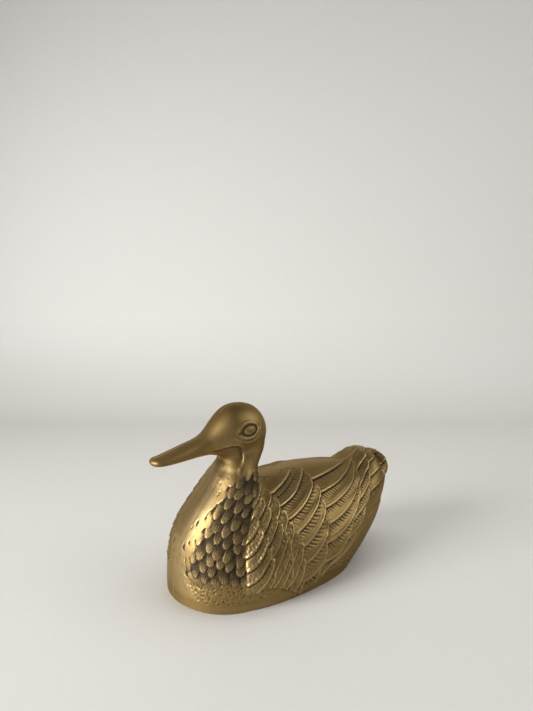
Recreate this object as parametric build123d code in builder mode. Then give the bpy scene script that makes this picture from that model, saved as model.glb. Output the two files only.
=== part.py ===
"""A cast brass duck ornament: two hollow half castings brazed together along the middle plane.

Millimetres. The duck looks towards -X, its left side is -Y and +Z is up. The origin lies under
the middle of its length, on the surface that it stands on. Every form is lofted as its left half,
which ends on the middle plane, and the right half is its mirror image.
"""

import os
from math import ceil, cos, pi, radians, sin

from build123d import *

# Overall sizes
LENGTH = 150.0  # bill tip to tail end
BODY_WIDTH = 70.0  # across the body, without the wing feathers
BACK_HEIGHT = 54.0  # top of the back over the base
TAIL_HEIGHT = 52.5  # top of the tail over the base
CROWN_HEIGHT = 93.0  # top of the head over the base

# Casting
WALL = 3.5  # thickness of the hollow casting
SEAM = 0.8  # braze line between the two halves

SOLID_TAIL = 24.0  # tail end to the cavity
SOLID_BILL = 31.0  # bill tip to the cavity

# Places along the duck
BILL_TIP_X = -LENGTH / 2
TAIL_END_X = LENGTH / 2
BILL_TO_BODY = 25.0  # bill tip to the front of the body form, which is inside the breast
BODY_FRONT_X = BILL_TIP_X + BILL_TO_BODY
TAIL_BEYOND_WINGS = 8.0  # wing tips to the tail end
WING_END_X = TAIL_END_X - TAIL_BEYOND_WINGS
WING_ROUNDING = 6.0  # ends of the feather outlines to the rounded wing tips
FEATHERS_END_X = WING_END_X - WING_ROUNDING
TAIL_LENGTH = 55.0  # with the part of it that is inside the body
TAIL_FRONT_X = TAIL_END_X - TAIL_LENGTH
TAIL_WIDTH = 54.0
BILL_OVERHANG = 10.3  # bill tip to the foremost point of the breast
BREAST_FRONT_X = BILL_TIP_X + BILL_OVERHANG
BREAST_WIDTH = 62.0
BREAST_DEPTH = 55.2  # foremost point of the breast to the back of the neck
NECK_TOP = 80.0  # inside the head, over the base
HEAD_LENGTH = 63.2  # back of the head to the bill tip
HEAD_BACK_X = BILL_TIP_X + HEAD_LENGTH
HEAD_WIDTH = 27.0

# Section shapes as shares of the sizes above, each row one section of the form
# Along the body, half width, top, widest line and keel
BODY_SHAPE = (
    (0.000, 0.686, 0.667, 0.26, -0.63),
    (0.086, 0.910, 0.815, 0.26, -0.63),
    (0.180, 0.985, 0.935, 0.26, -0.63),
    (0.326, 1.000, 0.990, 0.26, -0.63),
    (0.549, 0.957, 1.010, 0.30, -0.37),
    (0.738, 0.835, 0.960, 0.40, -0.09),
    (0.848, 0.710, 0.930, 0.53, 0.10),
    (0.928, 0.570, 1.045, 0.66, 0.30),
)
WING_END = 0.95
TAIL_SHAPE = (
    (0.00, 1.00, 0.90, 0.27, -0.30),
    (0.35, 0.94, 0.93, 0.36, -0.08),
    (0.60, 0.84, 0.95, 0.50, 0.16),
    (0.80, 0.65, 0.890, 0.71, 0.46),
    (0.90, 0.53, 1.012, 0.86, 0.62),
)
TAIL_END = 0.93
# Height, front and rear behind the foremost point, half width
BREAST_SHAPE = (
    (-0.15, 0.018, 1.00, 0.95),
    (0.00, 0.000, 1.00, 1.00),
    (0.125, 0.004, 1.00, 1.00),
    (0.25, 0.027, 1.00, 0.98),
    (0.3875, 0.076, 1.00, 0.90),
    (0.55, 0.222, 0.98, 0.74),
    (0.6625, 0.361, 0.815, 0.568),
    (0.775, 0.452, 0.860, 0.426),
    (0.8625, 0.545, 0.945, 0.361),
    (1.00, 0.575, 0.930, 0.339),
)
# From the back of the head to the bill tip: along, half width, top, widest line and keel
HEAD_SHAPE = (
    (0.2168, 1.00, 1.00, 0.839, 0.70),
    (0.3434, 0.955, 0.991, 0.833, 0.712),
    (0.4541, 0.72, 0.930, 0.823, 0.726),
    (0.5411, 0.52, 0.866, 0.806, 0.735),
    (0.6203, 0.45, 0.838, 0.783, 0.733),
    (0.731, 0.435, 0.815, 0.763, 0.729),
    (0.8576, 0.435, 0.787, 0.753, 0.7226),
    (0.9288, 0.41, 0.773, 0.746, 0.7226),
)
HEAD_BACK = 0.835
BILL_TIP = 0.748

# Eyes
EYE_BEHIND = 16.2  # back of the head to the eye
EYE_DROP = 12.2  # crown to the eye
EYE_RADIUS = 3.6
EYE_SINK = 2.8  # side of the head to the middle of the eyeball
EYE_LID_RADIUS = 4.2
EYE_LID_THICKNESS = 1.8
EYE_LID_SINK = 0.9
EYE_LOOKS = (-0.1, -1.0, 0.16)
EYE_AT = Vector(HEAD_BACK_X - EYE_BEHIND, -HEAD_WIDTH / 2, CROWN_HEIGHT - EYE_DROP)

# Wing feather layers, outlined on a plane that leans back to face the flank
WING_LEAN = 30.0
WING_PLANE = Plane((0, 0, 0), x_dir=(1, 0, 0), z_dir=(0, -cos(radians(WING_LEAN)), sin(radians(WING_LEAN))))
FEATHER_BULGE = 1.6
# Leading edge from its upper end, as shares of the wing's length and of the back's height
WING_FRONT = ((0.220, 0.62), (0.126, 0.39), (0.076, 0.09), (0.072, -0.13))
# Height over the body in millimetres, feathers, and the rear edge as shares like the leading edge
WING_LAYERS = (
    (0.3, 7, ((0.920, 0.60), (0.820, 0.296), (0.613, -0.22))),
    (0.7, 6, ((0.840, 0.60), (0.748, 0.278), (0.568, -0.22))),
    (1.1, 6, ((0.528, 0.62), (0.513, 0.222), (0.378, -0.22))),
    (1.5, 5, ((0.270, 0.62), (0.324, 0.148), (0.180, -0.13))),
)
# Raised feather rims on each layer: height over the body in millimetres, rims, then for the first and the
# last rim the root and the tip as shares like the leading edge, and the sag of each in millimetres
FEATHER_RIMS = (
    (1.3, 5, ((0.815, 0.487), (0.649, -0.085)), ((0.923, 0.665), (0.779, 0.071)), (0.3, 0.3)),
    (1.8, 5, ((0.518, 0.491), (0.491, -0.109)), ((0.860, 0.722), (0.721, 0.172)), (2.0, 3.0)),
    (2.2, 6, ((0.280, 0.463), (0.345, -0.213)), ((0.526, 0.765), (0.490, -0.038)), (2.6, 1.5)),
    (2.4, 4, ((0.171, 0.413), (0.108, -0.080)), ((0.270, 0.583), (0.309, 0.222)), (1.2, 5.0)),
)
RIM_WIDTH = 4.0  # at the middle of a rim, which tapers to both ends
RIM_LIMIT = 0.58  # highest place of the rims, as a share of the back's height

# Smoothness of the lofts
ARC_STEPS = 8  # spans of a half section
SECTION_STEP = 5.0  # greatest distance between sections
ROUNDING = (25, 45, 62, 77)  # degrees around a rounded end where it has sections


def through(rows, step):
    """Rows resampled along a smooth curve through the given ones, at most one step apart."""
    resampled = []
    for i in range(len(rows) - 1):
        before, here = rows[max(i - 1, 0)], rows[i]
        there, after = rows[i + 1], rows[min(i + 2, len(rows) - 1)]
        run = there[0] - here[0]
        count = max(1, ceil(abs(run) / step))
        for k in range(count):
            t = k / count
            row = []
            for j in range(len(here)):
                leave = (there[j] - before[j]) / (there[0] - before[0]) * run
                arrive = (after[j] - here[j]) / (after[0] - here[0]) * run
                row.append(
                    (2 * t**3 - 3 * t**2 + 1) * here[j]
                    + (t**3 - 2 * t**2 + t) * leave
                    + (3 * t**2 - 2 * t**3) * there[j]
                    + (t**3 - t**2) * arrive
                )
            resampled.append(tuple(row))
    resampled.append(rows[-1])
    return resampled


def sized(shape, start, span, half_width, height, grow):
    """Section rows in millimetres from a table of shares, grown outwards all round."""
    rows = []
    for along, wide, top, widest, keel in shape:
        rows.append((
            start + span * along,
            wide * half_width + grow,
            top * height + grow,
            widest * height,
            keel * height - grow,
        ))
    return through(rows, SECTION_STEP)


def rounded_end(row, end_x, end_z):
    """Sections that round a form off between its last section and its end point."""
    x, half_width, top, widest, keel = row
    rows = []
    for degrees in ROUNDING:
        along, shrink = sin(radians(degrees)), cos(radians(degrees))
        middle = widest + (end_z - widest) * (1 - shrink)
        rows.append((
            x + (end_x - x) * along,
            half_width * shrink,
            middle + (top - widest) * shrink,
            middle,
            middle + (keel - widest) * shrink,
        ))
    return rows


def half_egg(half_width, top, widest, keel):
    """Left half of a section: a quarter of an ellipse above the widest line and one below it."""
    points = [(0, top)]
    for step in range(1, ARC_STEPS):
        angle = pi / 2 + pi * step / ARC_STEPS
        reach = top - widest if sin(angle) > 0 else widest - keel
        points.append((half_width * cos(angle), widest + reach * sin(angle)))
    points.append((0, keel))
    return points


def half_skin(planes_and_points, tangents, mode, first=None, last=None):
    """Lofts the left half of a form through its half sections, to a point at an end that has one."""
    sections = []
    for plane, points in planes_and_points:
        with BuildSketch(plane, mode=Mode.PRIVATE) as section:
            with BuildLine():
                Spline(*points, tangents=tangents)
                Line(points[-1], points[0])
            make_face()
        sections.append(section.sketch)
    if first:
        sections.insert(0, Vertex(*first))
    if last:
        sections.append(Vertex(*last))
    loft(sections, ruled=True, mode=mode)


def lengthwise_skin(rows, mode, first=None, last=None):
    """Lofts a form that runs along the duck."""
    sections = [(Plane.YZ.offset(x), half_egg(*section)) for x, *section in rows]
    half_skin(sections, ((-1, 0), (1, 0)), mode, first, last)


def body_form(grow=0.0):
    """Body with the folded wings, from inside the breast to the wing tips."""
    rows = sized(BODY_SHAPE, BODY_FRONT_X, WING_END_X - BODY_FRONT_X, BODY_WIDTH / 2, BACK_HEIGHT, grow)
    end_x, end_z = WING_END_X + grow, WING_END * BACK_HEIGHT
    rows += rounded_end(rows[-1], end_x, end_z)
    lengthwise_skin(rows, Mode.ADD, last=(end_x, 0, end_z))


def tail_form():
    """Rump and tail, which show behind the wing tips."""
    rows = sized(TAIL_SHAPE, TAIL_FRONT_X, TAIL_LENGTH, TAIL_WIDTH / 2, TAIL_HEIGHT, 0.0)
    end_z = TAIL_END * TAIL_HEIGHT
    rows += rounded_end(rows[-1], TAIL_END_X, end_z)
    lengthwise_skin(rows, Mode.ADD, last=(TAIL_END_X, 0, end_z))


def breast_form(grow=0.0, mode=Mode.ADD):
    """Breast and neck, from below the base to inside the head."""
    sections = []
    for height, front, rear, wide in through(BREAST_SHAPE, SECTION_STEP / NECK_TOP):
        front_x = BREAST_FRONT_X + front * BREAST_DEPTH - grow
        rear_x = BREAST_FRONT_X + rear * BREAST_DEPTH + grow
        middle_x = (front_x + rear_x) / 2
        half_depth = (rear_x - front_x) / 2
        half_width = wide * BREAST_WIDTH / 2 + grow
        points = [(front_x, 0)]
        for step in range(1, ARC_STEPS):
            angle = pi + pi * step / ARC_STEPS
            points.append((middle_x + half_depth * cos(angle), half_width * sin(angle)))
        points.append((rear_x, 0))
        sections.append((Plane.XY.offset(height * NECK_TOP), points))
    half_skin(sections, ((0, -1), (0, 1)), mode)


def head_rows(grow=0.0):
    """Sections of the head and bill, from the rounded back of the head."""
    rows = sized(HEAD_SHAPE, HEAD_BACK_X, -HEAD_LENGTH, HEAD_WIDTH / 2, CROWN_HEIGHT, grow)
    return rounded_end(rows[0], HEAD_BACK_X + grow, HEAD_BACK * CROWN_HEIGHT)[::-1] + rows


def head_form():
    """Head and bill, from the back of the head to the bill tip."""
    rows = head_rows()
    back_z, tip_z = HEAD_BACK * CROWN_HEIGHT, BILL_TIP * CROWN_HEIGHT
    rows += rounded_end(rows[-1], BILL_TIP_X, tip_z)
    lengthwise_skin(rows, Mode.ADD, (HEAD_BACK_X, 0, back_z), (BILL_TIP_X, 0, tip_z))


def hollow():
    """Cuts the cavity, one wall inside the body, breast, neck and head. The bill and tail are solid."""
    body = sized(BODY_SHAPE, BODY_FRONT_X, WING_END_X - BODY_FRONT_X, BODY_WIDTH / 2, BACK_HEIGHT, -WALL)
    cavity_end_x = TAIL_END_X - SOLID_TAIL
    lengthwise_skin([row for row in body if row[0] < cavity_end_x], Mode.SUBTRACT)
    breast_form(-WALL, Mode.SUBTRACT)
    cavity_front_x = BILL_TIP_X + SOLID_BILL
    lengthwise_skin([row for row in head_rows(-WALL) if row[0] > cavity_front_x], Mode.SUBTRACT)


def scalloped(edge, feathers, bulge):
    """One arc for each feather tip along an edge line, from its lower end up."""
    for k in range(feathers):
        lower, upper = edge @ (1 - k / feathers), edge @ (1 - (k + 1) / feathers)
        along = (upper - lower).normalized()
        backwards = Vector(along.Y, -along.X)
        ThreePointArc(lower, (lower + upper) / 2 + backwards * bulge, upper)


def on_wing(shares):
    """Places on the wing's outline plane from shares of its length and of the back's height."""
    return [(BODY_FRONT_X + (FEATHERS_END_X - BODY_FRONT_X) * along, BACK_HEIGHT * up) for along, up in shares]


def wing_layer(height, feathers, rear_edge):
    """One layer of wing feathers: the body grown by its height, inside a scalloped outline."""
    with BuildPart() as layer:
        body_form(height)
        with BuildSketch(WING_PLANE):
            with BuildLine():
                leading = Spline(*on_wing(WING_FRONT))
                edge = Spline(*on_wing(rear_edge), mode=Mode.PRIVATE)
                scalloped(edge, feathers, FEATHER_BULGE)
                Line(leading @ 1, edge @ 1)
                Line(leading @ 0, edge @ 0)
            make_face()
        extrude(amount=BODY_WIDTH, mode=Mode.INTERSECT)
    return layer.part


def part_way(ends, share):
    """A place part of the way from the first to the last of two places."""
    first, last = ends
    return tuple(a + (b - a) * share for a, b in zip(first, last))


def feather_rims(height, rims, roots, tips, sags):
    """One row of feather rims: the body grown by their height, inside crescents that curve up and back."""
    with BuildPart() as row:
        body_form(height)
        with BuildSketch(WING_PLANE):
            for k in range(rims):
                share = k / (rims - 1)
                root, tip = [Vector(*place) for place in on_wing((part_way(roots, share), part_way(tips, share)))]
                sag = sags[0] + (sags[1] - sags[0]) * share
                lower = (root + tip) / 2 - Vector(0, sag)
                with BuildLine():
                    ThreePointArc(root, lower, tip)
                    ThreePointArc(tip, lower + Vector(0, RIM_WIDTH), root)
                make_face()
            with Locations((0, (RIM_LIMIT - 1) * BACK_HEIGHT)):
                Rectangle(LENGTH, 2 * BACK_HEIGHT, mode=Mode.INTERSECT)
        extrude(amount=BODY_WIDTH, mode=Mode.INTERSECT)
    return row.part


os.makedirs("parts", exist_ok=True)

wing_layers = [wing_layer(*layer) for layer in WING_LAYERS]
wing_rims = [feather_rims(*row) for row in FEATHER_RIMS]

with BuildPart() as left_shell:
    body_form()
    tail_form()
    breast_form()
    head_form()
    add(wing_layers)
    add(wing_rims)
    with Locations(EYE_AT + (0, EYE_SINK, 0)):
        Sphere(EYE_RADIUS)
    with Locations(Plane(EYE_AT + (0, EYE_LID_SINK, 0), z_dir=EYE_LOOKS)):
        Torus(EYE_LID_RADIUS, EYE_LID_THICKNESS / 2)
    hollow()
    split(bisect_by=Plane.XY)

with BuildPart() as left_half_casting:
    add(left_shell.part)
    split(bisect_by=Plane.XZ.offset(SEAM / 2))

with BuildPart() as right_half_casting:
    add(left_half_casting.part)
    mirror(about=Plane.XZ, mode=Mode.REPLACE)

with BuildPart() as seam_braze:
    add(left_shell.part)
    split(bisect_by=Plane.XZ.offset(SEAM / 2), keep=Keep.BOTTOM)
    mirror(about=Plane.XZ)

left_half_casting.part.label = "left_half_casting"
right_half_casting.part.label = "right_half_casting"
seam_braze.part.label = "seam_braze"
export_step(left_half_casting.part, "parts/left_half_casting.step")
export_step(right_half_casting.part, "parts/right_half_casting.step")
export_step(seam_braze.part, "parts/seam_braze.step")
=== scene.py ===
"""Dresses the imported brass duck: feather relief, scales, eyes, jaw and aged brass on the two half castings.

The script copies the left half casting, gives it a fine even skin, raises the feathers on it, cuts it
at the seam and mirrors it. Relief is worked out in millimetres and the scene is in metres.
The duck looks towards -X, its left side is -Y and +Z is up.
"""

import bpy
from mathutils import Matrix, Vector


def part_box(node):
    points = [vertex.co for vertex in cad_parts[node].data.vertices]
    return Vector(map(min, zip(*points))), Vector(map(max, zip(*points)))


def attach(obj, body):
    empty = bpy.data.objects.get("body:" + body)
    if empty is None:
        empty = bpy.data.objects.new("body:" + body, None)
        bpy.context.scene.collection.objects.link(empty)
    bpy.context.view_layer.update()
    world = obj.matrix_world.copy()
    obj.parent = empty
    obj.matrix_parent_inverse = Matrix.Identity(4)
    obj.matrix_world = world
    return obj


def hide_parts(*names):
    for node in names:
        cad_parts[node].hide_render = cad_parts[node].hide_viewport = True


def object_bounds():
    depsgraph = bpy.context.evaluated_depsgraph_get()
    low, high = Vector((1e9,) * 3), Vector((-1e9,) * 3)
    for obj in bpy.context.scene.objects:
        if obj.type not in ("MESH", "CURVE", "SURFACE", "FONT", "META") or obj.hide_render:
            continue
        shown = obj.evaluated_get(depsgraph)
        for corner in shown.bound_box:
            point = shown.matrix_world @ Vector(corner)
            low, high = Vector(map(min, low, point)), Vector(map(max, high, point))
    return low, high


bl_info = {
    "name": "Brass duck ornament",
    "version": (1, 0, 0),
    "blender": (4, 5, 0),
    "location": "View3D > Sidebar > Duck",
    "description": "Feathers, scales, eyes and aged brass for the packed duck, with its stage",
    "category": "Object",
}

from collections import namedtuple
from math import cos, pi, radians, sin

import bmesh
import bpy
import numpy as np
from bpy.props import FloatProperty, FloatVectorProperty, PointerProperty
from mathutils import Matrix, Vector

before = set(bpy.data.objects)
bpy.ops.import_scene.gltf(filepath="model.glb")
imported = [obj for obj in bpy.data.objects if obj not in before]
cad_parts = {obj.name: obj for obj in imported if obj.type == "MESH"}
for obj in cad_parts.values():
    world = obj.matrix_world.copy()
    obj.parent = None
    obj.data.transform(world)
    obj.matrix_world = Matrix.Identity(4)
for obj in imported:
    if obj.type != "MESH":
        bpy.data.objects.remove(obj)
CAD_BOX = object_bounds()

MM = 0.001

# The cuts between the pieces
SEAM_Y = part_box("seam_braze")[0].y  # left face of the braze
MARGIN = 2.5 * MM  # skin kept past the middle plane until it is cut
SKIRT = 2.0 * MM  # skin kept under the base until it is cut
INSIDE_KEPT, PLAIN_KEPT = 0.08, 0.3  # shares of the faces kept on the inner wall and on plain surfaces
BOX_GAP = 0.01  # millimetres that the skin stays inside the solids' box

# Heights that lie on the casting's own surface, as shares of the relief's rise
WING_LEVEL, BREAST_LEVEL = 0.55, 0.45
BACK_LEVEL = 0.75  # of the smooth back, a little over the wing's

# Wing outline: x of the leading edge at heights up the leaning wing plane, millimetres
WING_LEAN = radians(30)
LEAD_UP = (-20, -7, 5, 13, 21, 29, 38, 46, 50, 80)
LEAD_X = (-40, -42, -41.6, -40, -36, -31, -24, -14, -6, 10)

# A row of overlapping feathers on that plane. Numbers count the feathers down from the back: a feather has
# the groove over it at its own number and its free lower rim at the next. Grooves and rims start on a root
# line and curve up and back, with run counted back from that line:
# up = root_up - spacing * number + slope * run + (curl + curl_step * number) * run * run
# The root line stands at root_x and moves by root_shift from one number to the next. The top feather's
# shaft lies at the number shaft. The tips are the x of the feathers' ends.
FeatherRow = namedtuple("FeatherRow", "root_x root_shift root_up spacing slope curl curl_step shaft tips")
NO_SHAFT = -5.0  # out of sight
LONG_FEATHERS = FeatherRow(
    -9.5, 0.0, 17.4, 5.0, 0.20, 0.0035, 0.0, NO_SHAFT, (57, 56, 53.0, 47.4, 40, 29.8, 18.3, -30))
MIDDLE_FEATHERS = FeatherRow(
    8.3, -0.75, 34.6, 8.1, 0.12, 0.0022, 0.0033, 0.05, (51, 49.5, 45.8, 41.3, 33.2, 11, -6))
FRONT_FEATHERS = FeatherRow(
    -20.4, 1.45, 32.3, 7.3, 0.22, 0.012, 0.0018, 0.4, (9, 8.3, 7.4, 7.8, 6.5, 4.8, 0.8, -6, -12))
REAR_COVERTS = FeatherRow(
    -36.0, 0.0, 29.9, 8.6, 0.0, 0.04, 0.0, NO_SHAFT, (-22, -20, -18.8, -17.3, -15.7, -13.6, -12.8))
MIDDLE_COVERTS = FeatherRow(
    -40.0, 0.0, 32.0, 6.6, 0.0, 0.045, 0.0, NO_SHAFT, (-28, -27, -26, -25, -23.5, -22, -21, -20))
FRONT_COVERTS = FeatherRow(
    -43.0, 0.0, 30.0, 5.8, 0.0, 0.06, 0.0, NO_SHAFT, (-33, -33, -33, -32.5, -32, -31.5, -31, -30))
TAIL_FEATHERS = FeatherRow(
    44.0, 0.0, 39.8, 6.8, 0.30, 0.003, 0.0, NO_SHAFT, (90, 90, 90, 90, 90, 90, 90))
# The rows that lie over the long feathers, rear ones first: with barbs or with pits, and their lift
UPPER_ROWS = (
    (MIDDLE_FEATHERS, True, 0.25),
    (FRONT_FEATHERS, True, 0.3),
    (REAR_COVERTS, False, 0.35),
    (MIDDLE_COVERTS, False, 0.45),
    (FRONT_COVERTS, False, 0.5),
)
HEM_NUMBER = 6.7  # the lower hem of the wing among the long feathers
TAIL_HEM_NUMBER = 4.4  # where the tail feathers fade into the belly
TAIL_START_X = 40
FRONT_HEM_X = (-46, -40, -32, -25, -18, -11, -9)
FRONT_HEM_UP = (-6, -8.5, -8, -10, -13.5, -17, -30)
# Parts of a feather, millimetres from its free edge
RIM_CREST = 0.5
RIM_LINE = 1.6
# Barbs, millimetres: the shortest at a shaft and at a groove, and how much longer one may be
SHAFT_BARB, GROOVE_BARB, BARB_LONGER = 1.6, 2.3, 1.8
BARB_SPACING = 2.1
BARB_LEAN = 1.15  # back along the feather for each millimetre away from the groove
# Width of the cells that hold one cast pit each, millimetres
COVERT_PIT, BELLY_PIT = 1.7, 1.9
# Short veins cut into the smooth back, on the same plane
BACK_VEINS = (
    ((-17.4, 43.6), (-15.6, 42.0), (-14.2, 42.4), (-12.6, 41.5)),
    ((-16.6, 40.6), (-15.6, 42.0)),
    ((-6.0, 42.6), (-4.2, 43.2), (-2.5, 44.5), (-0.6, 43.9), (1.5, 44.3), (3.6, 43.2), (5.4, 43.4)),
)

# Breast and neck: the section's middle x at the base, how far it moves back with height, and the half widths
NECK_MIDDLE, NECK_BACK = -37.1, 0.153
NECK_Z = (0, 20, 31, 44, 53, 62, 69, 80)
NECK_RADIUS = (31, 31, 27.9, 22.9, 17.6, 13.2, 11.2, 10.5)
# Half width of the ground strip on the breast, around the section
STRIP_Z = (0, 4.5, 12, 20, 26, 33, 40, 48, 55, 62, 68)
STRIP_WIDE = (18, 15.5, 9, 2.5, 3.5, 4.5, 6.5, 6.5, 6.3, 8.5, 15)
# How high the grinding left the relief, at distances outside the strip
OFF_STRIP = (-1.5, 0.0, 4.0, 8.0, 13.0)
GROUND_LEVEL = (0.10, 0.20, 0.32, 0.6, 1.5)
SCALE_WIDTH = 5.5
SCALE_PITCH = 4.6
SCALE_LENGTH = 2.15 * SCALE_PITCH
SCALE_SLANT = 0.35  # the rows drop towards the back

# Head: side view places of the eye and of the jaw's edge with the crease behind the throat
HEAD_Z = (60, 64)  # the neck's relief gives way to the head's
EYE_X, EYE_Z = -28.1, 81.1
EYE_TILT = radians(14)  # the front corner is lower
EYEBALL_HALF_LENGTH, EYEBALL_HALF_HEIGHT = 3.6, 2.3
LID_MIDDLE, LID_HALF_LENGTH, UPPER_LID_HEIGHT, LOWER_LID_HEIGHT = -0.5, 6.2, 3.35, 3.2
LID_CREASE = 1.75  # outside the lids' edges
POUCH_HALF_LENGTH, POUCH_HEIGHT = 8.3, 6.0
TEAR_PIT = -5.4  # along the eye
JAW = (
    (-58, 69.6), (-52, 70.6), (-46.4, 71.5), (-41.8, 72.2), (-37.5, 73.5),
    (-33.7, 73.4), (-31.4, 71.3), (-30.3, 67.4), (-31.4, 64.4), (-33.8, 62.0),
)
NOSTRIL_X, NOSTRIL_Z = -46.3, 76.0

# Depth and height against the surroundings that make a hollow all dark, with patina and painted shade,
# and a crest all bright, with wear and a painted highlight, millimetres
HOLLOW_DEPTH, CREST_HEIGHT = 0.38, 0.30

# Stage, metres: the sweep of floor and wall along the camera's heading, the lights and the camera
HEADING = Vector((0.5736, 0.8192, 0))
SWEEP_START, SWEEP_REACH, SWEEP_RISE = -1.2, 0.45, 0.9
SWEEP_BEND, SWEEP_BEND_STEPS = 0.12, 12
SWEEP_HALF_WIDTH = 1.6
AreaLight = namedtuple("AreaLight", "name place wide high power mirrored")
LIGHT_SPREAD = radians(110)
LIGHT_AIM = Vector((0, 0, 0.045))
ROOM_STRENGTH = 0.25
CAMERA_LENS = 27.04  # millimetres, over a 36 mm long side
CAMERA_PLACE = (-0.1690, -0.2284, 0.1450)
CAMERA_AIM = Vector((0.5704, 0.8147, -0.1045))


def linear(hex_colour):
    """Linear RGB of an sRGB hex colour."""
    channels = [int(hex_colour[i:i + 2], 16) / 255 for i in (1, 3, 5)]
    return tuple(c / 12.92 if c <= 0.04045 else ((c + 0.055) / 1.055) ** 2.4 for c in channels)


EDGE_TINT = linear("#D2CCC2")  # what oxide leaves of the brass's shine at grazing angles
ROOM_COLOUR = linear("#CFCDC8")


class DuckSizes(bpy.types.PropertyGroup):
    """Sizes of the fine relief on the castings"""

    skin_step: FloatProperty(
        name="Skin step", description="Width of one face of the fine skin",
        default=0.425 * MM, unit="LENGTH")
    feather_rise: FloatProperty(
        name="Feather rise", description="Height of a wing feather's rim over the groove under it",
        default=0.95 * MM, unit="LENGTH")
    scale_rise: FloatProperty(
        name="Scale rise", description="Height of a breast scale's tip over the next scale",
        default=0.85 * MM, unit="LENGTH")
    jaw_overhang: FloatProperty(
        name="Jaw overhang", description="How far the jaw's edge stands out over the throat",
        default=0.9 * MM, unit="LENGTH")


class DuckColours(bpy.types.PropertyGroup):
    """Colours of the brass and of the stage"""

    polished: FloatVectorProperty(
        name="Polished brass", description="Brass that hands and cloths keep bright",
        subtype="COLOR", size=3, min=0, max=1, default=linear("#C0A778"))
    aged: FloatVectorProperty(
        name="Aged brass", description="Brass under a thin brown tarnish",
        subtype="COLOR", size=3, min=0, max=1, default=linear("#8C7448"))
    # Dark oxide in the recesses, used also as painted shade in grooves, under rims and edges and in hollows
    patina_and_shade: FloatVectorProperty(
        name="Patina", description="Dark oxide and old polish in the recesses",
        subtype="COLOR", size=3, min=0, max=1, default=linear("#241C10"))
    braze: FloatVectorProperty(
        name="Braze", description="Braze metal along the ground seam",
        subtype="COLOR", size=3, min=0, max=1, default=linear("#C0A778"))
    wall: FloatVectorProperty(
        name="Wall", description="Matt paint of the wall",
        subtype="COLOR", size=3, min=0, max=1, default=linear("#DEDCD8"))
    floor: FloatVectorProperty(
        name="Floor", description="Pale matt floor",
        subtype="COLOR", size=3, min=0, max=1, default=linear("#BFBDB8"))


def smooth_step(low, high, value):
    """0 below low, 1 above high and a smooth rise between; falls instead where low is over high."""
    t = np.clip((value - low) / (high - low), 0, 1)
    return t * t * (3 - 2 * t)


def swell(distance, width):
    """1 at no distance, falling off smoothly over a width."""
    return np.exp(-((distance / width) ** 2))


def scatter(first, second, seed):
    """The same number from 0 to 1 for the same place, with no pattern to the eye."""
    value = np.sin(first * 12.9898 + second * 78.233 + seed * 37.719) * 43758.5453
    return value - np.floor(value)


def pits(first, second, cell, seed):
    """Irregular small pits, two leaning layers of them: 1 in a pit's middle."""
    deepest = np.zeros(len(first))
    for layer, (size, turn) in enumerate(((1.0, 0.45), (0.72, 1.25))):
        width = cell * size
        a = first * cos(turn) + second * sin(turn)
        b = second * cos(turn) - first * sin(turn)
        column, row = np.floor(a / width), np.floor(b / width)
        mark = seed + 7 * layer
        middle_a = (column + 0.28 + 0.44 * scatter(column, row, mark)) * width
        middle_b = (row + 0.28 + 0.44 * scatter(column, row, mark + 1)) * width
        radius = width * (0.14 + 0.24 * scatter(column, row, mark + 2))
        present = scatter(column, row, mark + 3) > 0.45
        deepest = np.maximum(deepest, present * swell(np.hypot(a - middle_a, b - middle_b), radius))
    return deepest


def line_distance(first, second, line):
    """Distance to a line through points, on a flat view of the surface."""
    nearest = np.full(len(first), 1e9)
    for (a1, a2), (b1, b2) in zip(line[:-1], line[1:]):
        run_1, run_2 = b1 - a1, b2 - a2
        t = np.clip(((first - a1) * run_1 + (second - a2) * run_2) / (run_1**2 + run_2**2), 0, 1)
        nearest = np.minimum(nearest, np.hypot(first - a1 - t * run_1, second - a2 - t * run_2))
    return nearest


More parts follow.
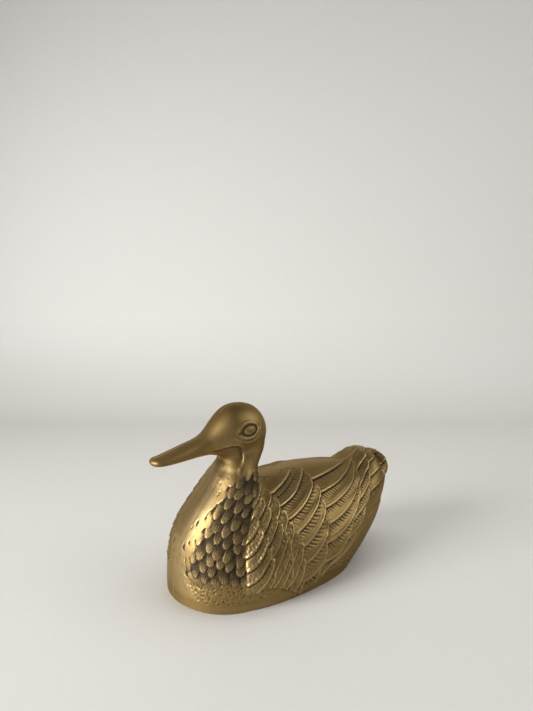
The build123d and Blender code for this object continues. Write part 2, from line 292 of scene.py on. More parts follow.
def feather_row(row, x, up, barbed, seed):
    """Relief of one row of feathers: where it covers, its height from 0 to 1 and more, its dark lines
    and the feather numbers, counted down from the back."""
    # The root line and the curl depend on the number, so it is found in rounds
    number = np.zeros(len(x))
    for _ in range(9):
        run = x - row.root_x - row.root_shift * number
        curl = (row.curl + row.curl_step * number) * run * np.abs(run)
        number = np.clip((row.root_up - up + row.slope * run + curl) / row.spacing, -9, len(row.tips) + 1)
    feather = np.floor(number)
    across = number - feather
    tip_x = np.interp(number, range(len(row.tips)), row.tips) + 1.5 * np.sin(pi * across**1.5)
    tip_gap = tip_x - x
    length = tip_x - row.root_x - row.root_shift * number
    wide = row.spacing * 0.85
    from_groove = across * wide
    free_edge = np.minimum((1 - across) * wide, tip_gap * 0.9)
    # The feather rises from its groove to its rim and from root to tip, with a line inside the rim
    height = 0.62 * across + 0.38 * np.clip(run / length, 0, 1)
    height += 0.16 * smooth_step(2.6, 1.8, free_edge) + 0.14 * swell(free_edge - RIM_CREST, 0.5)
    height -= 0.18 * swell(free_edge - RIM_LINE, 0.32) + 0.35 * swell(from_groove, 0.7)
    # Painted shadow in the groove under the rim of the feather above, darker towards that groove; a darker
    # line inside the rim
    dark = np.maximum(swell(from_groove, 0.9), 0.45 * swell(free_edge - RIM_LINE, 0.35))
    dark = np.maximum(dark, 0.42 * (1 - across) ** 1.5)
    if barbed:
        # The top feather shows its shaft, with barbs on both sides; the others' barbs hang from the groove
        shafted = number < 1
        from_shaft = np.where(shafted, np.abs(number - row.shaft) * wide, from_groove)
        comb = (run * 1.12 - BARB_LEAN * from_shaft) / BARB_SPACING
        tooth = np.floor(comb)
        reach = np.where(shafted, SHAFT_BARB, GROOVE_BARB) + BARB_LONGER * scatter(tooth, feather, seed)
        taper = np.clip(1 - from_shaft / (reach + 0.3), 0, 1)
        barb = swell(comb - tooth - 0.5, 0.09 + 0.23 * taper) * smooth_step(0, 0.25, taper)
        barb *= smooth_step(1.7, 2.3, free_edge) * (0.6 + 0.4 * scatter(tooth, feather, seed + 1))
        shaft = shafted * swell(from_shaft, 0.4) * smooth_step(0.8, 0.6, run / length)
        barb = np.maximum(barb, shaft)
        height -= 0.34 * barb
        dark = np.maximum(dark, barb)
    else:
        stipple = pits(run, number * row.spacing, COVERT_PIT, seed) * smooth_step(0.6, 1.4, free_edge)
        height -= 0.30 * stipple
        dark = np.maximum(dark, 0.75 * stipple)
    shown = smooth_step(-0.8, -0.3, number)
    height = WING_LEVEL + shown * (height - WING_LEVEL)
    return tip_gap > 0, height, dark * shown, number


def wing_relief(x, up):
    """Relief of the folded wing and the tail, rear rows first: height, dark lines and where it lies."""
    height = np.full(len(x), 0.1)
    dark = np.zeros(len(x))
    covers, rise, lines, number = feather_row(TAIL_FEATHERS, x, up, True, 5)
    on_tail = covers & (number < TAIL_HEM_NUMBER) & (x > TAIL_START_X)
    hem = smooth_step(TAIL_HEM_NUMBER, TAIL_HEM_NUMBER - 1, number)
    height[on_tail] = (0.15 + 0.5 * rise * hem)[on_tail]
    dark[on_tail] = (lines * hem)[on_tail]
    covers, rise, lines, number = feather_row(LONG_FEATHERS, x, up, True, 1)
    on_wing = covers & (number < HEM_NUMBER) & (up > np.interp(x, FRONT_HEM_X, FRONT_HEM_UP))
    hem = smooth_step(HEM_NUMBER, HEM_NUMBER - 0.35, number)
    height[on_wing] = (0.2 + rise * hem)[on_wing]
    dark[on_wing] = lines[on_wing]
    for seed, (row, barbed, lift) in enumerate(UPPER_ROWS):
        covers, rise, lines, _ = feather_row(row, x, up, barbed, seed + 20)
        covers &= on_wing
        height[covers] = lift + rise[covers]
        dark[covers] = lines[covers]
    # The back is worn smooth, apart from its veins
    ridge = smooth_step(39, 46, up) * smooth_step(-25, -10, x) * smooth_step(62, 50, x)
    height += ridge * (BACK_LEVEL - height)
    dark *= 1 - 0.9 * ridge
    for vein in BACK_VEINS:
        cut = swell(line_distance(x, up, vein), 0.45) * (0.5 + 0.5 * np.sin(x * 2.3) ** 2)
        height -= 0.3 * cut
        dark = np.maximum(dark, 0.8 * cut)
    return height, dark, on_wing | on_tail


def scale_relief(around, down):
    """Relief of the breast's overlapping scales, which point down: height and dark lines."""
    height = np.zeros(len(around))
    dark = np.zeros(len(around))
    shade = np.full(len(around), 9.0)
    open_still = np.ones(len(around), bool)
    # The upper rows lie over the lower ones, so a place takes the first scale that covers it
    for above in (2, 1, 0):
        row = np.floor(down / SCALE_PITCH) - above
        shift = 0.5 * np.mod(row, 2)
        column = np.round(around / SCALE_WIDTH - shift)
        middle = (column + shift) * SCALE_WIDTH + 1.7 * (scatter(row, column, 1) - 0.5)
        side = (around - middle) / (SCALE_WIDTH * (0.46 + 0.12 * scatter(row, column, 3)))
        top = row * SCALE_PITCH + 2.0 * (scatter(row, column, 2) - 0.5)
        turned = 0.22 * (scatter(row, column, 4) - 0.5) * side
        end = top + SCALE_LENGTH * (1 + turned - 0.42 * np.abs(side) ** 2.2)
        t = np.clip((down - top) / SCALE_LENGTH, 0, 1)
        covers = open_still & (np.abs(side) < 1) & (down < end)
        pit = swell(side, 0.6) * swell(t - 0.2, 0.2)
        slant = (around - middle) * (1 + 0.3 * t) + 0.8 * (scatter(row, column, 7) - 0.5) * (down - top)
        grain = np.sin(2 * pi * slant / (1.2 + 0.5 * scatter(row, column, 5))) * smooth_step(0.3, 0.6, t)
        rise = (0.65 + 0.4 * scatter(row, column, 6)) * t**1.2 + 0.25 * (1 - side**2)
        rise = rise + 0.1 * grain - 0.45 * pit
        height[covers] = rise[covers]
        # Painted shadow on a scale just below the tip of the scale over it, darker towards each scale's root;
        # dark pits and grain lines
        lines = np.maximum(0.6 * swell(shade, 0.9), 1.1 * pit)
        lines = lines + 0.35 * np.clip(-grain, 0, 1) + 0.35 * (1 - t)
        dark[covers] = lines[covers]
        under = open_still & ~covers & (down >= end) & (np.abs(side) < 1.02)
        shade[under] = np.minimum(shade, down - end)[under]
        open_still &= ~covers
    return height, np.clip(dark, 0, 1)


def breast_relief(x, y, z):
    """Relief of the breast, neck and belly: height, dark lines and how polished the strip is."""
    middle = NECK_MIDDLE + NECK_BACK * z
    around = np.arctan2(-y, middle - x) * np.interp(z, NECK_Z, NECK_RADIUS)
    down = (80 - z) * 1.08 - SCALE_SLANT * around + 20
    height, dark = scale_relief(around, down)
    # Near the strip the scales are ground down, and only the deepest places between them are left dark
    off_strip = around - np.interp(z, STRIP_Z, STRIP_WIDE)
    ground = np.interp(off_strip, OFF_STRIP, GROUND_LEVEL)
    # Darker over the scales away from the strip, and less so on their raised tips, a painted highlight
    dull = 0.8 * smooth_step(5.0, 12.0, off_strip) * (1 - 0.4 * smooth_step(0.55, 1.0, height))
    dark *= smooth_step(0.0, 0.16, ground - height) * smooth_step(-2.2, -0.8, off_strip)
    height = np.minimum(height, ground)
    height = np.maximum(height, np.interp(off_strip, (-2.2, -0.8), (0.12, 0)))
    # The scales end at the stippled belly and at the smooth upper neck
    low = smooth_step(15.5, 11.5, z)
    high = smooth_step(57, 62, z)
    height += np.maximum(low, high) * (np.minimum(0.35, ground) - height)
    dark *= 1 - np.maximum(low, high)
    dark = np.maximum(dark, dull * smooth_step(7, 18, z) * (1 - high))
    belly = low * smooth_step(3.2, 5.0, z) * smooth_step(0, 7, off_strip)
    stipple = belly * pits(around, z, BELLY_PIT, 11)
    height -= 0.45 * stipple
    dark = np.maximum(dark, 0.9 * stipple)
    polish = np.maximum(smooth_step(8.0, 2.0, off_strip), smooth_step(4.2, 2.8, z))
    return height, dark, polish


def eye_relief(x, z):
    """Relief of the eyeball between its lids, and the pouch under it: height and dark lines."""
    along = (x - EYE_X) * cos(EYE_TILT) + (z - EYE_Z) * sin(EYE_TILT)
    above = (z - EYE_Z) * cos(EYE_TILT) - (x - EYE_X) * sin(EYE_TILT)
    arch = 1 - ((along - LID_MIDDLE) / LID_HALF_LENGTH) ** 2
    outside = np.maximum(above - UPPER_LID_HEIGHT * arch, -LOWER_LID_HEIGHT * arch - above)
    outside = np.minimum(outside, 6.0)
    ball = np.hypot(along / EYEBALL_HALF_LENGTH, above / EYEBALL_HALF_HEIGHT)
    height = 0.7 * np.sqrt(np.clip(1 - ball**2, 0, 1)) - 0.25 * smooth_step(0.3, -0.3, outside)
    height += 0.45 * swell(outside - 0.5, 0.5) * smooth_step(-0.15, 0.4, arch)
    height -= 0.25 * swell(outside - LID_CREASE, 0.5) * (above < 1)
    rim = smooth_step(0.3, -0.2, outside) * swell(ball - 1.1, 0.24)
    height -= 0.2 * rim
    under = -POUCH_HEIGHT * (1 - ((along - LID_MIDDLE) / POUCH_HALF_LENGTH) ** 2) - above
    height += 0.35 * swell(under, 0.6) * smooth_step(-0.5, -1.5, above)
    tear = swell(np.hypot(along - TEAR_PIT, above * 1.4), 0.9)
    height -= 0.3 * tear
    # Painted shade in the gap round the eyeball, in the tear pit, along the lid crease and under the pouch;
    # darker between the lids
    dark = np.maximum(0.95 * rim, 0.9 * tear)
    dark = np.maximum(dark, 0.55 * swell(outside - LID_CREASE, 0.5) * (above < 0.5))
    dark = np.maximum(dark, 0.3 * swell(under - 1.0, 0.5) * (above < -1))
    dark = np.maximum(dark, 0.42 * smooth_step(0.2, -0.3, outside))
    return height, dark


def under_jaw(x, z):
    """Where the throat lies: under the jaw edge and in front of the crease that runs down from it."""
    jaw_x, jaw_z = np.array(JAW).T
    return (z < np.interp(x, jaw_x[:7], jaw_z[:7])) & (x < np.interp(-z, -jaw_z[5:], jaw_x[5:]))


def head_relief(x, z, overhang):
    """Relief of the eye, jaw edge, throat and nostril, in millimetres: height and dark lines."""
    height, dark = eye_relief(x, z)
    nostril = swell(np.hypot((x - NOSTRIL_X) / 1.6, z - NOSTRIL_Z), 0.8)
    height -= 0.25 * nostril
    dark = np.maximum(dark, 0.5 * nostril)
    # Painted shade on the cheek and the bill, for the darker room that they mirror
    dark = np.maximum(dark, 0.34 * smooth_step(-20, -32, x) * smooth_step(90, 78, z))
    throat = under_jaw(x, z)
    away = line_distance(x, z, JAW)
    fade = smooth_step(-49, -43, x) * smooth_step(60, 67, z)
    depth = overhang * swell(away, 3.0)
    height += fade * np.where(throat, -depth, 0.25 * swell(away, 1.1))
    # Painted shadow on the throat under the jaw's edge
    dark = np.maximum(dark, fade * throat * 0.8 * swell(away, 1.6))
    return height, dark


def mesh_arrays(mesh):
    """Vertex places in millimetres, normals and edge ends of a mesh."""
    count = len(mesh.vertices)
    places, normals = np.zeros(count * 3), np.zeros(count * 3, np.float32)
    ends = np.zeros(len(mesh.edges) * 2, np.int32)
    mesh.vertices.foreach_get("co", places)
    mesh.vertex_normals.foreach_get("vector", normals)
    mesh.edges.foreach_get("vertices", ends)
    return places.reshape(-1, 3) / MM, normals.reshape(-1, 3), ends.reshape(-1, 2)


def store(mesh, name, values):
    """Stores one number at each vertex of a mesh."""
    mesh.attributes.new(name, "FLOAT", "POINT").data.foreach_set("value", values.astype(np.float32))


def neighbour_mean(values, ends):
    """Mean of each vertex's neighbours, for one number or several at each vertex."""
    count = len(values)
    first, second = ends.T
    degree = np.bincount(ends.ravel(), minlength=count)
    columns = []
    for column in values.reshape(count, -1).T:
        total = np.bincount(first, column[second], count) + np.bincount(second, column[first], count)
        columns.append(total / np.maximum(degree, 1))
    return np.array(columns).T.reshape(values.shape)


def relax(values, ends, rounds, share=0.5, back=0.0):
    """Evens values out over the skin. A step back after each round keeps the whole from shrinking."""
    for _ in range(rounds):
        values = values + share * (neighbour_mean(values, ends) - values)
        if back:
            values = values - back * (neighbour_mean(values, ends) - values)
    return values


def drawn_tight(places, ends, free, rounds):
    """The skin with some of its vertices free to settle between their neighbours, which fills a hollow."""
    used, links = np.unique(ends[free[ends].any(1)], return_inverse=True)
    links = links.reshape(-1, 2)
    part, loose = places[used], free[used]
    for _ in range(rounds):
        part[loose] = neighbour_mean(part, links)[loose]
    result = places.copy()
    result[used] = part
    return result


def outer_side(places, ends):
    """Vertices of the casting's outside: those joined to the crown without passing the rim or the margin.
    Each vertex takes the lowest number among those that it is joined to."""
    inside_cut = (places[:, 2] < -0.6) | (places[:, 1] > (MARGIN / MM) - 0.8)
    links = ends[~inside_cut[ends].any(1)]
    label = np.arange(len(places))
    while True:
        lowest = np.minimum(label[links[:, 0]], label[links[:, 1]])
        lower = label.copy()
        np.minimum.at(lower, links[:, 0], lowest)
        np.minimum.at(lower, links[:, 1], lowest)
        lower = lower[lower]
        if (lower == label).all():
            break
        label = lower
    return label == label[places[:, 2].argmax()]


def modified(mesh, kind, weights=None, **settings):
    """A copy of a mesh with one modifier applied, which may read a vertex group of weights."""
    holder = bpy.data.objects.new("holder", mesh)
    bpy.context.scene.collection.objects.link(holder)
    modifier = holder.modifiers.new(kind, kind)
    for name, value in settings.items():
        setattr(modifier, name, value)
    if weights is not None:
        group = holder.vertex_groups.new(name="weights")
        group.add(np.flatnonzero(weights).tolist(), 1.0, "REPLACE")
        modifier.vertex_group = group.name
    result = bpy.data.meshes.new_from_object(holder.evaluated_get(bpy.context.evaluated_depsgraph_get()))
    bpy.data.objects.remove(holder)
    bpy.data.meshes.remove(mesh)
    return result


def cut_off(bm, place, outwards):
    """Cuts away what lies beyond a plane and closes the cut with flat faces."""
    geometry = bm.verts[:] + bm.edges[:] + bm.faces[:]
    cut = bmesh.ops.bisect_plane(
        bm, geom=geometry, dist=1e-7, plane_co=place, plane_no=outwards, clear_outer=True)
    edges = [g for g in cut["geom_cut"] if isinstance(g, bmesh.types.BMEdge)]
    filled = bmesh.ops.triangle_fill(bm, edges=edges, use_beauty=False, normal=outwards)["geom"]
    for f in filled:
        if isinstance(f, bmesh.types.BMFace):
            f.smooth = False


def casting_skin(step):
    """Left half casting with a margin past the middle plane and under the base, as a fine even skin."""
    bm = bmesh.new()
    bm.from_mesh(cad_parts["left_half_casting"].data)
    bmesh.ops.remove_doubles(bm, verts=bm.verts, dist=1e-6)
    mating = [f for f in bm.faces if all(abs(v.co.y - SEAM_Y) < 2e-6 for v in f.verts)]
    bmesh.ops.delete(bm, geom=mating, context="FACES")
    for v in bm.verts:
        if abs(v.co.y - SEAM_Y) < 2e-6:
            v.co.y = 0
        if v.co.z < 1e-5:
            v.co.z = -SKIRT
    twin = bmesh.ops.duplicate(bm, geom=bm.verts[:] + bm.edges[:] + bm.faces[:])["geom"]
    for v in twin:
        if isinstance(v, bmesh.types.BMVert):
            v.co.y = -v.co.y
    bmesh.ops.reverse_faces(bm, faces=[f for f in twin if isinstance(f, bmesh.types.BMFace)])
    bmesh.ops.remove_doubles(bm, verts=bm.verts, dist=2e-6)
    cut_off(bm, (0, MARGIN, 0), (0, 1, 0))
    mesh = bpy.data.meshes.new("casting_skin")
    bm.to_mesh(mesh)
    bm.free()
    return modified(mesh, "REMESH", mode="VOXEL", voxel_size=step)


def plain_eye_removed(places, outer):
    """Takes the solid's plain eye off the head's side, so that the modelled eye sits on a smooth cheek."""
    x, y, z = places.T
    away = np.hypot(x - EYE_X, z - EYE_Z)
    near = outer & (y < 0) & (away < 10.5)
    ring = near & (away > 7.4)

    def terms(chosen):
        a, b = x[chosen] - EYE_X, z[chosen] - EYE_Z
        return np.stack([a**0, a, b, a * a, a * b, b * b, a**3, b**3], 1)

    fit = np.linalg.lstsq(terms(ring), y[ring], rcond=None)[0]
    share = smooth_step(8.6, 6.8, away[near])
    places[near, 1] += share * (terms(near) @ fit - y[near])


def evened(places, ends, outer):
    """The skin without the solid's facets and low steps, and with a full throat under the jaw. The thin ends
    of the bill and the tail and the lowest part of the body keep more of their shape."""
    even = relax(places, ends, 45, 0.5, 0.51)
    x, y, z = even.T
    thick = smooth_step(-58, -50, x) * smooth_step(75, 67, x) * smooth_step(2, 6, z)
    cheek = smooth_step(-32, -29, x) * smooth_step(59, 64, z) * smooth_step(77, 73, z)
    much = relax(even, ends, 90)
    even += thick[:, None] * (much - even)
    even += cheek[:, None] * (relax(much, ends, 60) - even)
    below = outer & under_jaw(x - 0.4, z + 0.4)
    even = drawn_tight(even, ends, below & (np.abs(y) > 2.5) & (x > -43.5) & (z > 58), 400)
    even = drawn_tight(even, ends, below & (x > -41) & (z > 50), 40)
    base = places[:, 2] < -0.5
    even[base] = places[base]
    return even


def raise_relief(mesh, sizes):
    """Raises feathers, scales, eyes and jaw on the outside of the skin, and stores what the brass shows
    by: its patina with painted shade, its crests, bright with wear and a painted highlight, and its polish.
    It also marks the inner wall and the busy surfaces."""
    places, _, ends = mesh_arrays(mesh)
    outer = outer_side(places, ends)
    plain_eye_removed(places, outer)
    mesh.vertices.foreach_set("co", (evened(places, ends, outer) * MM).ravel())
    mesh.update()
    places, normals, _ = mesh_arrays(mesh)
    x, y, z = places[:, 0], -np.abs(places[:, 1]), places[:, 2]
    up = y * sin(WING_LEAN) + z * cos(WING_LEAN)
    wing_height, wing_dark, winged = wing_relief(x, up)
    breast_height, breast_dark, polish = breast_relief(x, y, z)
    head_height, head_dark = head_relief(x, z, sizes.jaw_overhang / MM)
    behind_lead = x - np.interp(up, LEAD_UP, LEAD_X)
    wing = smooth_step(-0.5, 0.5, behind_lead) * winged
    head = smooth_step(*HEAD_Z, z)
    plain = (behind_lead > 0) & (wing < 0.5)
    belly = pits(x, z, BELLY_PIT, 12) * smooth_step(3.4, 5.2, z) * smooth_step(14, 9, z) * (behind_lead > 0)

    height = wing * (wing_height - WING_LEVEL) * sizes.feather_rise / MM
    height += (1 - wing) * (1 - head) * (breast_height - BREAST_LEVEL) * (sizes.scale_rise / MM) * ~plain
    height += head * head_height - plain * 0.4 * belly
    height = relax(height * outer, ends, 1, 0.4)
    height += head * (relax(height, ends, 3) - height)
    places += normals * height[:, None]
    mesh.vertices.foreach_set("co", (places * MM).ravel())

    dark = np.maximum(wing * wing_dark, (1 - wing) * (1 - head) * breast_dark * ~plain)
    dark = np.maximum(np.maximum(dark, head * head_dark), plain * 0.8 * belly)
    # Darker in hollows with patina and painted shade, brighter on crests with wear and a painted highlight
    surroundings = relax(height, ends, 14)
    hollow = np.clip((surroundings - height) / HOLLOW_DEPTH, 0, 1)
    crest = np.clip((height - surroundings) / CREST_HEIGHT, 0, 1)
    # Hands and cloths polish the strip, the wing's front edge and the back; the base rim less. The front
    # edge's polish is partly a painted highlight where it faces the window
    polish *= 0.6 * (1 - wing) * (1 - head)
    leading = swell(behind_lead - 2.5, 2.6) * smooth_step(-12, -4, up) * smooth_step(27, 18, up)
    polish = np.maximum(polish, 0.5 * leading * wing)
    polish = np.maximum(polish, 0.55 * smooth_step(40, 47, up) * wing)
    polish = np.maximum(polish * smooth_step(2, 9, z), 0.25 * smooth_step(4.0, 2.8, z))
    marks = {
        "patina_and_shade": np.clip(np.maximum(hollow * 0.85, dark), 0, 1) * outer + 0.75 * ~outer,
        "crest": crest * outer,
        "polish": np.clip(polish, 0, 1) * outer,
    }
    for name, values in marks.items():
        store(mesh, name, relax(values, ends, 1, 0.35))
    mesh.update()
    near_eye = (np.abs(x - EYE_X) < 9) & (z > 70)
    near_seam = y > -2
    busy = outer & ((relax(np.abs(height), ends, 6) > 0.03) | near_eye | near_seam)
    store(mesh, "inside", ~outer)
    store(mesh, "busy", busy)


def thinned(mesh, name, value, kept):
    """A mesh with fewer faces where a stored mark has a value: a share of them is kept there."""
    marks = np.zeros(len(mesh.vertices), np.float32)
    mesh.attributes[name].data.foreach_get("value", marks)
    chosen = np.abs(marks - value) < 0.5
    share = 1 - chosen.mean() * (1 - kept)
    return modified(mesh, "DECIMATE", weights=chosen, ratio=share, vertex_group_factor=1000)


def dressed_skin(context):
    """The left casting's skin with its relief, made once and kept for each piece that is cut from it."""
    kept = bpy.data.meshes.get("dressed_skin")
    if kept:
        return kept
    sizes = context.scene.duck_sizes
    mesh = casting_skin(sizes.skin_step)
    raise_relief(mesh, sizes)
    mesh = thinned(mesh, "inside", 1, INSIDE_KEPT)
    mesh = thinned(mesh, "busy", 0, PLAIN_KEPT)
    places = mesh_arrays(mesh)[0]
    low, high = (np.array(corner) / MM for corner in CAD_BOX)
    low[2] = -SKIRT / MM
    mesh.vertices.foreach_set("co", (np.clip(places, low + BOX_GAP, high - BOX_GAP) * MM).ravel())
    mesh.update()
    facing = mesh_arrays(mesh)[1].astype(np.float32)
    mesh.attributes.new("facing", "FLOAT_VECTOR", "POINT").data.foreach_set("vector", facing.ravel())
    mesh.name = "dressed_skin"
    mesh.use_fake_user = True
    return mesh


def skin_over_base(context):
    """A smooth copy of the dressed skin, cut off flat at the base."""
    bm = bmesh.new()
    bm.from_mesh(dressed_skin(context))
    for f in bm.faces:
        f.smooth = True
    cut_off(bm, (0, 0, 0), (0, 0, -1))
    return bm


def piece_object(name, bm, material, side=1):
    """Makes a piece of the duck from its mesh, in place of the CAD node that it stands for. It is shaded by
    the normals of the whole skin, so that the joints don't show; side -1 is the mirror image."""
    mesh = bpy.data.meshes.new(name)
    bm.to_mesh(mesh)
    bm.free()
    facing = np.zeros(len(mesh.vertices) * 3, np.float32)
    mesh.attributes["facing"].data.foreach_get("vector", facing)
    corners = np.zeros(len(mesh.loops), np.int32)
    mesh.loops.foreach_get("vertex_index", corners)
    smooth = np.zeros(len(mesh.polygons), bool)
    mesh.polygons.foreach_get("use_smooth", smooth)
    corner_counts = np.zeros(len(mesh.polygons), np.int32)
    mesh.polygons.foreach_get("loop_total", corner_counts)
    facing = facing.reshape(-1, 3) * (1, side, 1)
    # A normal of no length leaves the flat faces of the cuts with their own
    mesh.normals_split_custom_set(facing[corners] * np.repeat(smooth, corner_counts)[:, None])
    mesh.attributes.remove(mesh.attributes["facing"])
    mesh.materials.clear()
    mesh.materials.append(material)
    piece = bpy.data.objects.new(name + "_dressed", mesh)
    bpy.context.scene.collection.objects.link(piece)
    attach(piece, "root")
    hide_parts(name)
    return piece


def add_node(tree, kind, inputs=None, **settings):
    """Adds a node with its settings; an input is a value, or another node's output to link."""
    node = tree.nodes.new(kind)
    for name, value in settings.items():
        setattr(node, name, value)
    for name, value in (inputs or {}).items():
        if isinstance(value, bpy.types.NodeSocket):
            tree.links.new(value, node.inputs[name])
        else:
            node.inputs[name].default_value = value
    return node


def cast_brass(colours):
    """Sand cast brass, cleaned and handled for years: bright on the ground strip and on the crests, which
    are rubbed and carry a painted highlight, brown on the plain feathers, and dark with oxide and painted
    shade in the grooves. A metal, so the eye reads it by what it mirrors, blurred by a fine cast grain."""
    material = bpy.data.materials.new("cast_brass")
    material.use_nodes = True
    tree = material.node_tree
    shader = tree.nodes["Principled BSDF"]
    place = add_node(tree, "ShaderNodeTexCoord").outputs["Object"]
    patina_and_shade = add_node(tree, "ShaderNodeAttribute", attribute_name="patina_and_shade").outputs["Fac"]
    crest = add_node(tree, "ShaderNodeAttribute", attribute_name="crest").outputs["Fac"]
    polish = add_node(tree, "ShaderNodeAttribute", attribute_name="polish").outputs["Fac"]
    # Tarnish clouds about 9 mm wide, and oxide flecks about 0.8 mm wide
    clouds = add_node(tree, "ShaderNodeTexNoise", {
        "Vector": place, "Scale": 1 / (9 * MM), "Detail": 4.0, "Roughness": 0.6}).outputs["Fac"]
    flecks = add_node(tree, "ShaderNodeTexNoise", {
        "Vector": place, "Scale": 1 / (0.8 * MM), "Detail": 3.0, "Roughness": 0.65}).outputs["Fac"]
    bright = add_node(tree, "ShaderNodeMath", {0: polish, 1: crest}, operation="MAXIMUM").outputs[0]
    clouded = add_node(tree, "ShaderNodeMapRange", {
        "Value": clouds, "From Min": 0.35, "From Max": 0.7, "To Min": 1.0, "To Max": 0.72}).outputs[0]
    bright = add_node(tree, "ShaderNodeMath", {0: bright, 1: clouded}, operation="MULTIPLY").outputs[0]
    metal = add_node(tree, "ShaderNodeMix", {
        0: bright, 6: (*colours.aged, 1), 7: (*colours.polished, 1)}, data_type="RGBA").outputs[2]
    edge = add_node(tree, "ShaderNodeMapRange", {
        "Value": flecks, "From Min": 0.3, "From Max": 0.7, "To Min": -0.16, "To Max": 0.09}).outputs[0]
    # Oxide and painted shade in the recesses, broken up by oxide flecks
    stain_and_shade = add_node(tree, "ShaderNodeMath", {0: patina_and_shade, 1: edge}, operation="ADD").outputs[0]
    stain_and_shade = add_node(tree, "ShaderNodeMapRange", {
        "Value": stain_and_shade, "From Min": 0.12, "From Max": 0.85, "To Min": 0.0, "To Max": 0.94},
        interpolation_type="SMOOTHSTEP").outputs[0]
    colour = add_node(tree, "ShaderNodeMix", {
        0: stain_and_shade, 6: metal, 7: (*colours.patina_and_shade, 1)}, data_type="RGBA").outputs[2]
    tree.links.new(colour, shader.inputs["Base Color"])
    # Patina and painted shade are duller than tarnish, tarnish duller than polish; thick, they hide the metal
    shine = add_node(tree, "ShaderNodeMapRange", {
        "Value": bright, "To Min": 0.46, "To Max": 0.33}).outputs[0]
    dull = add_node(tree, "ShaderNodeMath", {
        0: stain_and_shade, 1: 0.28, 2: shine}, operation="MULTIPLY_ADD").outputs[0]
    tree.links.new(dull, shader.inputs["Roughness"])
    metallic = add_node(tree, "ShaderNodeMapRange", {
        "Value": stain_and_shade, "To Min": 1.0, "To Max": 0.35}).outputs[0]
    tree.links.new(metallic, shader.inputs["Metallic"])
    # The thin oxide over the metal keeps its edges from going white
    shader.inputs["Specular Tint"].default_value = (*EDGE_TINT, 1)
    # Cast grain, about 0.5 mm, drawn as coarse as it needs to show
    grain = add_node(tree, "ShaderNodeTexNoise", {
        "Vector": place, "Scale": 1 / (0.5 * MM), "Detail": 2.0}).outputs["Fac"]
    depth = add_node(tree, "ShaderNodeMapRange", {
        "Value": bright, "To Min": 0.35, "To Max": 0.05}).outputs[0]
    relief = add_node(tree, "ShaderNodeBump", {"Height": grain, "Strength": depth, "Distance": 0.06 * MM})
    tree.links.new(relief.outputs["Normal"], shader.inputs["Normal"])
    return material


def braze_brass(colours):
    """Brass braze ground flush with the castings and polished with them: as bright as their polished
    parts, with faint dull flecks left by the file."""
    material = bpy.data.materials.new("ground_braze_brass")
    material.use_nodes = True
    tree = material.node_tree
    shader = tree.nodes["Principled BSDF"]
    shader.inputs["Metallic"].default_value = 1.0
    place = add_node(tree, "ShaderNodeTexCoord").outputs["Object"]
    # The tarnish clouds of the castings, about 9 mm wide
    clouds = add_node(tree, "ShaderNodeTexNoise", {
        "Vector": place, "Scale": 1 / (9 * MM), "Detail": 4.0, "Roughness": 0.6}).outputs["Fac"]
    dulled = tuple(0.8 * c for c in colours.braze)
    colour = add_node(tree, "ShaderNodeMix", {
        0: clouds, 6: (*colours.braze, 1), 7: (*dulled, 1)}, data_type="RGBA").outputs[2]
    tree.links.new(colour, shader.inputs["Base Color"])
    shader.inputs["Specular Tint"].default_value = (*EDGE_TINT, 1)
    # File marks about 0.25 mm wide
    flecks = add_node(tree, "ShaderNodeTexNoise", {
        "Vector": place, "Scale": 1 / (0.25 * MM), "Detail": 1.0}).outputs["Fac"]
    rough = add_node(tree, "ShaderNodeMapRange", {
        "Value": flecks, "To Min": 0.33, "To Max": 0.38}).outputs[0]
    tree.links.new(rough, shader.inputs["Roughness"])
    return material


def matt_wall_paint(colours):
    """Matt wall paint put on with a roller: pale and hardly shiny, a little darker on the floor than on
    the wall, with roller marks that are barely lighter and darker."""
    material = bpy.data.materials.new("matt_wall_paint")
    material.use_nodes = True
    tree = material.node_tree
    shader = tree.nodes["Principled BSDF"]
    shader.inputs["Roughness"].default_value = 0.6
    place = add_node(tree, "ShaderNodeTexCoord").outputs["Object"]
    # Roller marks about 4 mm wide
    marks = add_node(tree, "ShaderNodeTexNoise", {
        "Vector": place, "Scale": 1 / (4 * MM), "Detail": 3.0}).outputs["Fac"]
    height = add_node(tree, "ShaderNodeSeparateXYZ", {0: place}).outputs["Z"]
    on_wall = add_node(tree, "ShaderNodeMapRange", {"Value": height, "From Max": SWEEP_BEND}).outputs[0]
    pale = add_node(tree, "ShaderNodeMix", {
        0: on_wall, 6: (*colours.floor, 1), 7: (*colours.wall, 1)}, data_type="RGBA").outputs[2]
    faint = add_node(tree, "ShaderNodeMapRange", {
        "Value": marks, "To Min": 0.96, "To Max": 1.0}).outputs[0]
    tint = add_node(tree, "ShaderNodeVectorMath", {
        0: pale, "Scale": faint}, operation="SCALE").outputs[0]
    tree.links.new(tint, shader.inputs["Base Color"])
    return material


class DUCK_OT_half_castings(bpy.types.Operator):
    """Makes the left half casting with its feathers, scales, eye and jaw, and the right one as its mirror"""

    bl_idname = "duck.half_castings"
    bl_label = "Half castings"

    def execute(self, context):
        material = cast_brass(context.scene.duck_colours)
        for name, side in (("left_half_casting", 1), ("right_half_casting", -1)):
            bm = skin_over_base(context)
            cut_off(bm, (0, SEAM_Y, 0), (0, 1, 0))
            if side < 0:
                bmesh.ops.transform(bm, matrix=Matrix.Scale(-1, 4, (0, 1, 0)), verts=bm.verts)
                bmesh.ops.reverse_faces(bm, faces=bm.faces)
            piece_object(name, bm, material, side)
        return {"FINISHED"}


class DUCK_OT_seam_braze(bpy.types.Operator):
    """Makes the ground braze line that joins the two half castings"""

    bl_idname = "duck.seam_braze"
    bl_label = "Seam braze"

    def execute(self, context):
        bm = skin_over_base(context)
        cut_off(bm, (0, -SEAM_Y, 0), (0, 1, 0))
        cut_off(bm, (0, SEAM_Y, 0), (0, -1, 0))
        piece_object("seam_braze", bm, braze_brass(context.scene.duck_colours))
        return {"FINISHED"}


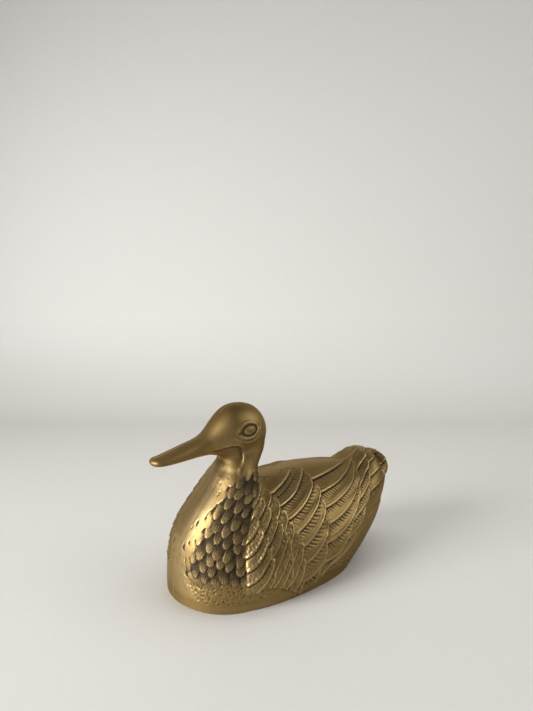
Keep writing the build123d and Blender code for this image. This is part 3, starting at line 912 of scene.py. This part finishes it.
class DUCK_OT_stage(bpy.types.Operator):
    """Makes the pale floor with its sweep, the soft lights and the camera at the photograph's angle"""

    bl_idname = "duck.stage"
    bl_label = "Stage"

    def execute(self, context):
        scene = context.scene
        # The floor runs from behind the camera and bends up into the wall behind the duck
        across = Vector((HEADING.y, -HEADING.x, 0))
        profile = [(SWEEP_START, 0.0), (0.0, 0.0)]
        for k in range(SWEEP_BEND_STEPS + 1):
            angle = pi / 2 * k / SWEEP_BEND_STEPS
            along = SWEEP_REACH - SWEEP_BEND + SWEEP_BEND * sin(angle)
            profile.append((along, SWEEP_BEND - SWEEP_BEND * cos(angle)))
        profile.append((SWEEP_REACH, SWEEP_RISE))
        bm = bmesh.new()
        rows = []
        for along, high in profile:
            middle = HEADING * along + Vector((0, 0, high))
            rows.append([bm.verts.new(middle + across * side * SWEEP_HALF_WIDTH) for side in (-1, 1)])
        for (a, b), (c, d) in zip(rows[:-1], rows[1:]):
            bm.faces.new((a, b, d, c)).smooth = True
        mesh = bpy.data.meshes.new("floor_sweep")
        bm.to_mesh(mesh)
        bm.free()
        floor = bpy.data.objects.new("floor_sweep", mesh)
        scene.collection.objects.link(floor)
        mesh.materials.append(matt_wall_paint(scene.duck_colours))
        # A window to the duck's front, a weak fill to the right of the camera and a ceiling that lights
        # the floor and wall without a mirror image of itself in the brass
        for lamp in (
            AreaLight("window", (-0.85, 0.08, 0.30), 0.42, 0.60, 5.2, True),
            AreaLight("fill", (0.70, -0.65, 0.75), 0.9, 0.9, 2.2, True),
            AreaLight("ceiling", (0.30, 0.20, 0.95), 1.2, 1.0, 4.6, False),
        ):
            data = bpy.data.lights.new(lamp.name, "AREA")
            data.shape = "RECTANGLE"
            data.energy, data.size, data.size_y = lamp.power, lamp.wide, lamp.high
            data.spread = LIGHT_SPREAD
            light = bpy.data.objects.new(lamp.name, data)
            light.visible_glossy = lamp.mirrored
            light.location = lamp.place
            aim = LIGHT_AIM - Vector(lamp.place)
            light.rotation_euler = aim.to_track_quat("-Z", "Y").to_euler()
            scene.collection.objects.link(light)
        world = bpy.data.worlds.new("room")
        world.use_nodes = True
        background = world.node_tree.nodes["Background"]
        background.inputs["Color"].default_value = (*ROOM_COLOUR, 1)
        background.inputs["Strength"].default_value = ROOM_STRENGTH
        scene.world = world
        scene.view_settings.view_transform = "Standard"
        data = bpy.data.cameras.new("camera")
        data.lens = CAMERA_LENS
        data.clip_start = 0.01
        camera = bpy.data.objects.new("camera", data)
        camera.location = CAMERA_PLACE
        camera.rotation_euler = CAMERA_AIM.to_track_quat("-Z", "Y").to_euler()
        scene.collection.objects.link(camera)
        scene.camera = camera
        return {"FINISHED"}


class DUCK_PT_panel(bpy.types.Panel):
    """Lists the duck's sizes, colours and pieces"""

    bl_idname = "DUCK_PT_panel"
    bl_label = "Brass duck"
    bl_space_type = "VIEW_3D"
    bl_region_type = "UI"
    bl_category = "Duck"

    def draw(self, context):
        for group in (context.scene.duck_sizes, context.scene.duck_colours):
            for name in group.bl_rna.properties.keys():
                if name not in ("rna_type", "name"):
                    self.layout.prop(group, name)
        for operator in (DUCK_OT_half_castings, DUCK_OT_seam_braze, DUCK_OT_stage):
            self.layout.operator(operator.bl_idname)


CLASSES = (DuckSizes, DuckColours, DUCK_OT_half_castings, DUCK_OT_seam_braze, DUCK_OT_stage, DUCK_PT_panel)


def register():
    for cls in CLASSES:
        bpy.utils.register_class(cls)
    bpy.types.Scene.duck_sizes = PointerProperty(type=DuckSizes)
    bpy.types.Scene.duck_colours = PointerProperty(type=DuckColours)


def unregister():
    del bpy.types.Scene.duck_colours
    del bpy.types.Scene.duck_sizes
    for cls in reversed(CLASSES):
        bpy.utils.unregister_class(cls)


def main():
    register()
    bpy.ops.duck.stage()
    bpy.ops.duck.half_castings()
    bpy.ops.duck.seam_braze()
    bpy.data.meshes.remove(bpy.data.meshes["dressed_skin"])
    bpy.context.view_layer.update()


if __name__ == "__main__":
    main()
